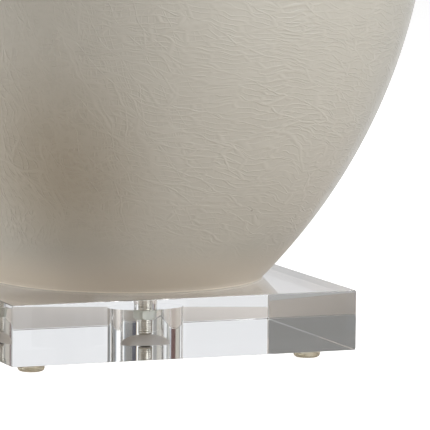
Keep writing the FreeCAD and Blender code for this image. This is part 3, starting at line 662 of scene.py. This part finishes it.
# %% [markdown]
# ## Clear acrylic
# Cast acrylic is clearer than glass and bends light a little less, with an index of 1.49. Its faces
# are flame polished, so the roughness is nearly zero. A shadow ray is let straight through, so that
# light reaches the washer and nut in the recess without waiting for a lucky bent ray.

# %% Clear acrylic
shadow_passes = 0.62
haze_size = 0.8

acrylic, tree, shader, place = finish_named("cast_acrylic", {
    "Base Color": linear("#FBFCFC"), "IOR": 1.491, "Transmission Weight": 1.0})
haze = add(tree, "TexNoise", {"Vector": place, "Scale": 1 / (haze_size * mm), "Detail": 3.0})
fill(tree, shader, {"Roughness": add(tree, "MapRange", (haze, 0.55, 0.8, 0.0, 0.012))})
through = add(tree, "BsdfTransparent", {"Color": (*(shadow_passes,) * 3, 1)})
shadow = add(tree, "LightPath").outputs["Is Shadow Ray"]
split = add(tree, "MixShader", (shadow, shader, through))
fill(tree, tree.get_output_node("ALL"), {"Surface": split})
print("acrylic ready")

# %% [markdown]
# ## The block
# A slab of 1 inch acrylic sawn to 6 inches square, polished, with its edges eased. The edges could
# come from a Bevel modifier, but a clear block shows every facet, so the sides are built ring by
# ring: each ring is a square with round corners, and the rings at the top and bottom follow a
# quarter round. The polishing flame softens the eight corners most, so there the rings' corners grow
# rounder. The flat faces stay truly flat, and only the rounds are shaded smooth. The block stands a
# hair clear of the pot and the washer, because a dry joint holds a film of air that shows.

# %% The block
block_side = 2 * high("acrylic_block").x
corner_radius = 0.6
soft_corner_radius = 1.2
soft_corner_height = 1.0
edge_rounding = 0.3
corner_steps = 8
edge_steps = 3
soft_corner_steps = 6
air_film = 0.05
hole_radius = 5.1
counterbore_radius = 16.7
ceiling_web = 10.2
cutter_half = 20.0
straight = 0.99999


def square_ring(half, rounding, z):
    """One level ring of a square with round corners."""
    ring = []
    middle = (half - rounding) * math.sqrt(2)
    for start in (0, 90, 180, 270):
        facing = math.radians(start + 45)
        for step in range(corner_steps + 1):
            turn = math.radians(start + 90 * step / corner_steps)
            ring.append(((middle * math.cos(facing) + rounding * math.cos(turn)) * mm,
                         (middle * math.sin(facing) + rounding * math.sin(turn)) * mm, z * mm))
    return ring


def block_rings():
    """The block's rings from the bottom edge round to the top edge."""
    bottom = low("acrylic_block").z + air_film
    top = block_top - air_film
    turns = [math.radians(90 * step / edge_steps) for step in range(edge_steps + 1)]
    levels = [(edge_rounding * (1 - math.sin(turn)), edge_rounding * (1 - math.cos(turn)))
              for turn in turns]
    levels += [(0.0, edge_rounding + (soft_corner_height - edge_rounding) * step / soft_corner_steps)
               for step in range(1, soft_corner_steps + 1)]
    rings = []
    for inset, rise in levels:
        softness = max(0.0, 1 - rise / soft_corner_height)
        rounding = corner_radius + (soft_corner_radius - corner_radius) * softness ** 2
        rings.append((block_side / 2 - inset, rounding - inset, rise))
    lower = [square_ring(half, rounding, bottom + rise) for half, rounding, rise in rings]
    upper = [square_ring(half, rounding, top - rise) for half, rounding, rise in rings]
    return lower + upper[::-1]


def acrylic_slab():
    """The slab with its hole and counterbore, truly flat wherever it looks straight along an axis."""
    rings = block_rings()
    count = len(rings[0])
    faces = [tuple(range(count))[::-1], tuple(range((len(rings) - 1) * count, len(rings) * count))]
    for level in range(len(rings) - 1):
        for index in range(count):
            near = level * count + index
            beside = level * count + (index + 1) % count
            faces.append((near, beside, beside + count, near + count))
    mesh = bpy.data.meshes.new("polished_block")
    mesh.from_pydata([point for ring in rings for point in ring], [], faces)
    slab = bpy.data.objects.new("polished_block", mesh)
    scene.collection.objects.link(slab)
    mesh.materials.append(acrylic)
    ceiling = block_top - ceiling_web + air_film
    cut_with(slab, round_cutter((0, 0, block_top), (0, 0, 1), hole_radius, 2 * cutter_half, 96))
    cut_with(slab, round_cutter((0, 0, ceiling - cutter_half), (0, 0, 1), counterbore_radius,
                                cutter_half, 256))
    slab.data.shade_smooth()
    slab.data.set_sharp_from_angle(angle=math.radians(35))
    for face in slab.data.polygons:
        if max(abs(part) for part in face.normal) > straight:
            face.use_smooth = False
    return slab


slab = acrylic_slab()
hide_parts("acrylic_block")
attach(slab, "lamp_base")
print("block has", len(slab.data.polygons), "faces")

# %% [markdown]
# ## Metals
# A metal has no colour under its surface: its tint is in the mirror itself. Nickel is faintly warm,
# zinc faintly blue, brass yellow. What tells them apart is how they were finished. Turned and
# brushed pieces keep fine rings round their axis, so the pattern reads only the distance from the
# axis and the height. Plated wire is smooth, and galvanised hardware is dull and mottled.

# %% Metals
def ringed_metal(name, colour, roughness, ring_spacing, ring_depth):
    """Metal turned or brushed round the upright axis, with fine rings a given distance apart."""
    material, tree, shader, place = finish_named(name, {"Base Color": linear(colour), "Metallic": 1.0})
    level = add(tree, "VectorMath", (place, (1, 1, 0)), operation="MULTIPLY")
    radius = add(tree, "VectorMath", (level,), operation="LENGTH")
    height = add(tree, "SeparateXYZ", (place,)).outputs["Z"]
    across = add(tree, "CombineXYZ", {"X": radius, "Z": height})
    rings = add(tree, "TexNoise", {"Vector": across, "Scale": 1 / (ring_spacing * mm), "Detail": 3.0})
    worn = add(tree, "MapRange", (rings, 0.3, 0.7, roughness - 0.08, roughness + 0.1))
    relief = add(tree, "Bump", {"Strength": 0.4, "Distance": ring_depth * mm, "Height": rings})
    fill(tree, shader, {"Roughness": worn, "Normal": relief})
    return material


def plain_metal(name, colour, dark_colour, roughness, patch_size, spread):
    """Plated or raw metal with cloudy patches of a given size."""
    material, tree, shader, place = finish_named(name, {"Metallic": 1.0})
    cloud = add(tree, "TexNoise", {
        "Vector": place, "Scale": 1 / (patch_size * mm), "Detail": 5.0, "Roughness": 0.6})
    tint = add(tree, "Mix", {0: cloud, 6: linear(dark_colour), 7: linear(colour)}, data_type="RGBA")
    uneven = add(tree, "MapRange", (cloud, 0.3, 0.7, roughness, roughness + spread))
    fill(tree, shader, {"Base Color": tint, "Roughness": uneven})
    return material


brushed_nickel = ringed_metal("brushed_nickel", "#CFC9BF", 0.27, 0.35, 0.03)
spun_aluminium = ringed_metal("bright_rolled_aluminium", "#DCDCDA", 0.2, 0.5, 0.02)
nickel_plate = plain_metal("bright_nickel_plate", "#D8D3CA", "#CDC8BE", 0.1, 6.0, 0.06)
zinc_plate = plain_metal("zinc_plated_steel", "#C9CBC4", "#AAACA4", 0.24, 2.5, 0.2)
bright_zinc = plain_metal("bright_zinc_plate", "#D9D8D2", "#C9C7BF", 0.12, 3.0, 0.1)
brass = plain_metal("turned_brass", "#DDB977", "#C79F5C", 0.2, 4.0, 0.1)
print("nickel has", len(brushed_nickel.node_tree.nodes), "nodes, brass", len(brass.node_tree.nodes))

# %% [markdown]
# ## Plastics, fibre and enamel
# The switch housing and knob are phenolic, the first hard plastic: nearly black, with a faint swirl
# from the mould and a soft gloss. The tube round the live parts is vulcanised fibre, a dense black
# card. The shade's rings are steel dipped in white enamel. One recipe serves all, because each is a
# body colour with a second one clouded in, a gloss, and a grain of its own size.

# %% Plastics, fibre and enamel
def clouded(name, colour, second_colour, roughness, coat, grain_size, grain_depth):
    """An opaque moulded, dipped or pressed material with two clouded tones and a fine grain."""
    material, tree, shader, place = finish_named(name, {
        "Roughness": roughness, "IOR": 1.5, "Coat Weight": coat, "Coat Roughness": 0.15})
    cloud = add(tree, "TexNoise", {
        "Vector": place, "Scale": 1 / (grain_size * mm), "Detail": 4.0, "Distortion": 0.6})
    tint = add(tree, "Mix", {0: cloud, 6: linear(colour), 7: linear(second_colour)}, data_type="RGBA")
    relief = add(tree, "Bump", {"Strength": 0.5, "Distance": grain_depth * mm, "Height": cloud})
    fill(tree, shader, {"Base Color": tint, "Normal": relief})
    return material


phenolic = clouded("moulded_phenolic", "#231D1A", "#33291F", 0.32, 0.35, 3.0, 0.02)
fibre = clouded("vulcanised_fibre", "#232221", "#302E2B", 0.8, 0.0, 0.8, 0.06)
enamel = clouded("dipped_white_enamel", "#EFEDE8", "#E6E3DC", 0.28, 0.3, 4.0, 0.03)
nylon = clouded("moulded_nylon", "#E2DFD4", "#D6D2C5", 0.45, 0.0, 1.2, 0.02)
print("phenolic has", len(phenolic.node_tree.nodes), "nodes")

# %% [markdown]
# ## Bumper feet
# The feet are cast polyurethane domes with a glued back. New ones are clear as water, and these have
# yellowed: most light passes and some is scattered warm, so transmission is mixed with a body colour.

# %% Bumper feet
foot_cloud_size = 2.2

foot_plastic, tree, shader, place = finish_named("yellowed_polyurethane", {
    "IOR": 1.5, "Roughness": 0.1, "Transmission Weight": 0.7})
cloud = add(tree, "TexNoise", {"Vector": place, "Scale": 1 / (foot_cloud_size * mm), "Detail": 2.0})
tint = add(tree, "Mix", {0: cloud, 6: linear("#D8D0B6"), 7: linear("#F4EFDD")}, data_type="RGBA")
fill(tree, shader, {"Base Color": tint})
print("feet stand from", round(low("bumper_feet").z, 2), "to", round(high("bumper_feet").z, 2), "mm")

# %% [markdown]
# ## Cutting a thread
# A thread is a rule: at each point the groove's depth depends on the height and on the angle, so that
# the groove climbs one pitch for each turn. A helix could be swept and cut out, which is slow and
# frail. Here a second tree moves the skin of a turned piece in and out by that rule. The same tree
# rolls the wide thread of a lamp socket, where thin sheet is pressed outwards instead of cut.

# %% The thread tree
thread_sizes = ("Pitch", "Depth", "Core radius", "From", "To", "Run in")
thread_crisp_angle = 50.0

thread, given, output = empty_tree("thread", dict.fromkeys(thread_sizes, "Float"))
position = add(thread, "GeometryNodeInputPosition")
where = add(thread, "SeparateXYZ", (position,)).outputs
level = add(thread, "VectorMath", (position, (1, 1, 0)), operation="MULTIPLY")
outwards = add(thread, "VectorMath", (level,), operation="NORMALIZE")
distance = add(thread, "VectorMath", (level,), operation="LENGTH")
turn = add(thread, "Math", (where["Y"], where["X"]), operation="ARCTAN2")
climb = add(thread, "Math", (where["Z"], given["Pitch"]), operation="DIVIDE")
phase = add(thread, "Math", (climb, -full_turn, turn), operation="MULTIPLY_ADD")
wave = add(thread, "Math", (phase,), operation="COSINE")
groove = add(thread, "Math", (wave, 0.5, 0.5), operation="MULTIPLY_ADD")
outside = add(thread, "Math", (distance, given["Core radius"]), operation="GREATER_THAN")
above = add(thread, "Math", (where["Z"], given["From"]), operation="SUBTRACT")
below = add(thread, "Math", (given["To"], where["Z"]), operation="SUBTRACT")
to_end = add(thread, "Math", (above, below), operation="MINIMUM")
amount = add(thread, "Math", (to_end, given["Run in"]), operation="DIVIDE", use_clamp=True)
for factor in (groove, outside, given["Depth"]):
    amount = add(thread, "Math", (amount, factor), operation="MULTIPLY")
inwards = add(thread, "VectorMath", {0: outwards, "Scale": amount}, operation="SCALE")
cut_place = add(thread, "VectorMath", (position, inwards), operation="SUBTRACT")
threaded = add(thread, "GeometryNodeSetPosition", {"Geometry": given["Geometry"], "Position": cut_place})
end_tree(thread, given, output, threaded)


def cut_thread(piece, material, *sizes):
    """Cut or roll a thread into a turned piece, the sizes in the tree's order, in millimetres."""
    values = {label: size * mm for label, size in zip(thread_sizes, sizes)}
    run_tree(piece.name, piece, thread, {**values, "Finish": material})
    tidy_mesh(piece.data, thread_crisp_angle)


# %% [markdown]
# ## The pipe
# Lamp pipe is steel tube, threaded 27 to the inch and bright zinc plated. Only its lower end shows, in
# the block's hole and in the recess, so the thread is cut there and the rest, which is shut in the
# pot, stays a plain tube with few faces. The plating fills the thread, so it is drawn shallow.

# %% The pipe
pipe_radius = high("threaded_pipe").x
pipe_bore = 3.45
pipe_pitch = 25.4 / 27
pipe_thread_depth = 0.12
pipe_chamfer = 0.5
pipe_low = low("threaded_pipe").z
pipe_high = high("threaded_pipe").z
thread_top = block_top + 2.0
pipe_outline = [(pipe_bore, pipe_low), (pipe_radius - pipe_chamfer, pipe_low)]
pipe_outline += run_between((pipe_radius, pipe_low + pipe_chamfer), (pipe_radius, thread_top),
                            pipe_pitch / 8)
pipe_outline += [(pipe_radius, thread_top), (pipe_radius, pipe_high - pipe_chamfer),
                 (pipe_radius - pipe_chamfer, pipe_high), (pipe_bore, pipe_high)]
pipe = turned("threaded_lamp_pipe", pipe_outline, 48, bright_zinc)
cut_thread(pipe, bright_zinc, pipe_pitch, pipe_thread_depth, (pipe_radius + pipe_bore) / 2, pipe_low,
           thread_top, pipe_pitch)
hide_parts("threaded_pipe")
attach(pipe, "lamp_base")
print("thread pitch", round(pipe_pitch, 3), "mm")

# %% [markdown]
# ## The socket's rolled thread
# The bulb screws into a cup of thin aluminium, rolled to the wide round thread of a standard bulb.
# Its wall is one thickness everywhere, so both skins move outwards together.

# %% The screw shell
shell_low = low("screw_shell").z
shell_high = high("screw_shell").z
shell_outer = high("screw_shell").x
shell_wall = 0.4
shell_floor = 0.6
shell_window = 7.0
shell_well = 11.0
shell_ledge = shell_low + 4.8
bulb_pitch = 25.4 / 7
rolled_depth = -0.75
shell_step = bulb_pitch / 12
shell_bore = shell_outer - shell_wall
shell_outline = [(shell_window, shell_low), (shell_well + shell_wall, shell_low),
                 (shell_well + shell_wall, shell_ledge - shell_wall)]
shell_outline += run_between((shell_outer, shell_ledge - shell_wall), (shell_outer, shell_high), shell_step)
shell_outline += run_between((shell_outer, shell_high), (shell_bore, shell_high), shell_wall)
shell_outline += run_between((shell_bore, shell_high), (shell_bore, shell_ledge), shell_step)
shell_outline += [(shell_bore, shell_ledge), (shell_well, shell_ledge),
                  (shell_well, shell_low + shell_floor), (shell_window, shell_low + shell_floor)]
screw_shell = turned("rolled_screw_shell", shell_outline, 96, spun_aluminium)
cut_thread(screw_shell, spun_aluminium, bulb_pitch, rolled_depth, shell_well + shell_wall,
           shell_ledge + 1.0, shell_high - 0.8, 2.0)
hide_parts("screw_shell")
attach(screw_shell, "lamp_base")

# %% [markdown]
# ## Linen
# The shade is linen glued to white sheet. Warp threads run up and weft threads run round, each a
# little uneven, with a thick slub here and there. The cloth is laid off the shade's axis: the angle
# round it times its radius gives millimetres along the weft, and the height gives them along the
# warp. Real threads are 0.6 mm apart. They are drawn 1.6 mm apart here, so that they show.

# %% Linen
cloth_radius = 190.0
thread_spacing = 1.6
slub_length = 26.0

shade_cloth, tree, shader, place = finish_named("woven_linen", {
    "Roughness": 0.85, "Sheen Weight": 0.25, "Sheen Roughness": 0.5})
parts = add(tree, "SeparateXYZ", (place,)).outputs
facing = add(tree, "Math", (parts["Y"], -1.0), operation="MULTIPLY")
angle = add(tree, "Math", (parts["X"], facing), operation="ARCTAN2")
along = add(tree, "Math", (angle, cloth_radius * mm), operation="MULTIPLY")
slubs = []
for across, run in ((along, parts["Z"]), (parts["Z"], along)):
    drawn_out = add(tree, "Math", (run, thread_spacing / slub_length), operation="MULTIPLY")
    stretched = add(tree, "CombineXYZ", {"X": across, "Y": drawn_out})
    slubs.append(add(tree, "TexNoise", {
        "Vector": stretched, "Scale": 1 / (thread_spacing * mm), "Detail": 2.0}, noise_dimensions="2D"))
weave = add(tree, "Math", slubs, operation="ADD")
tone = add(tree, "MapRange", (weave, 0.75, 1.25))
tint = add(tree, "Mix", {0: tone, 6: linear("#DDD4C3"), 7: linear("#F1EBDF")}, data_type="RGBA")
relief = add(tree, "Bump", {"Strength": 0.8, "Distance": 0.25 * mm, "Height": weave})
fill(tree, shader, {"Base Color": tint, "Normal": relief})
print("linen has", len(tree.nodes), "nodes")

# %% [markdown]
# ## The shade's lapped seam
# The sheet is rolled into a drum and its ends are lapped at the back, where the cloth stands a little
# proud over a narrow line of glue. A third tree lifts the skin there: the lift depends on the
# distance from the back line, so it follows the drum's slope from top to bottom.

# %% The seam tree
seam, given, output = empty_tree("lapped_seam", {"Lap width": "Float", "Lap lift": "Float"})
where = add(seam, "SeparateXYZ", (add(seam, "GeometryNodeInputPosition"),)).outputs
facing = add(seam, "SeparateXYZ", (add(seam, "GeometryNodeInputNormal"),)).outputs
aside = add(seam, "Math", (where["X"],), operation="ABSOLUTE")
in_lap = add(seam, "Math", (aside, given["Lap width"]), operation="DIVIDE")
lift = add(seam, "MapRange", (in_lap, 0.35, 0.65, 1.0, 0.0), **smooth)
back = add(seam, "Math", (where["Y"], 0.0), operation="GREATER_THAN")
outer_skin = add(seam, "Math", (facing["Y"], 0.5), operation="GREATER_THAN")
for factor in (back, outer_skin, given["Lap lift"]):
    lift = add(seam, "Math", (lift, factor), operation="MULTIPLY")
lapped = add(seam, "GeometryNodeSetPosition", {
    "Geometry": given["Geometry"], "Offset": add(seam, "CombineXYZ", {"Y": lift})})
end_tree(seam, given, output, lapped)

# %% [markdown]
# ## The shade's wall
# Four corners make the wall's outline. The inside is the bare face of the sheet, smooth and white,
# so the faces that look inwards get a second finish.

# %% The shade's wall
shade_low = low("shade_shell").z
shade_high = high("shade_shell").z
shade_bottom_radius = high("shade_shell").x
shade_top_radius = 177.8
shade_wall = 1.0
lap_width = 14.0
lap_lift = 0.5
sheet_plastic = clouded("white_styrene_sheet", "#F5F3EE", "#EFECE5", 0.42, 0.0, 14.0, 0.05)
outer_foot = (shade_bottom_radius, shade_low)
outer_head = (shade_top_radius, shade_high)
inner_foot = (shade_bottom_radius - shade_wall, shade_low)
inner_head = (shade_top_radius - shade_wall, shade_high)
wall_outline = run_between(outer_foot, outer_head, 10.0) + [outer_head]
wall_outline += run_between(inner_head, inner_foot, 20.0) + [inner_foot]
drum = turned("linen_shade_wall", wall_outline, 480, shade_cloth)
run_tree("linen_shade_wall", drum, seam, {"Lap width": lap_width * mm, "Lap lift": lap_lift * mm,
                                          "Finish": shade_cloth})
tidy_mesh(drum.data)
drum.data.materials.append(sheet_plastic)
for face in drum.data.polygons:
    inwards = face.normal.x * face.center.x + face.normal.y * face.center.y < 0
    face.material_index = 1 if inwards and abs(face.normal.z) < 0.5 else 0
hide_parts("shade_shell")
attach(drum, "shade")
print("shade from", round(shade_low, 1), "to", round(shade_high, 1), "mm")

# %% [markdown]
# ## Finishes for the frame's own pieces
# These pieces have their true shape already, so they only change finish, in the slots that they
# have. One table says which piece gets which, as a parts list does.

# %% Finishes for the frame's own pieces
parts_list = {
    foot_plastic: ("bumper_feet",),
    zinc_plate: ("base_washer", "base_nut", "saddle_nut", "holder_set_screw"),
    nylon: ("cord_bushing",),
    brushed_nickel: ("vase_cap", "turned_neck", "check_ring", "holder_cap", "holder_shell",
                     "ferrule_left", "ferrule_right", "finial_base"),
    nickel_plate: ("harp_saddle", "harp_wire", "harp_top", "shade_spider"),
    fibre: ("holder_liner",),
    phenolic: ("holder_body", "switch_knob"),
    brass: ("terminal_screws", "centre_contact", "switch_shaft"),
    enamel: ("shade_top_ring", "shade_bottom_ring"),
    shade_cloth: ("shade_trims",),
    acrylic: ("finial_ball",),
}
for material, names in parts_list.items():
    for name in names:
        for slot in nodes[name].material_slots:
            slot.material = material
print("pieces finished:", sum(len(names) for names in parts_list.values()))
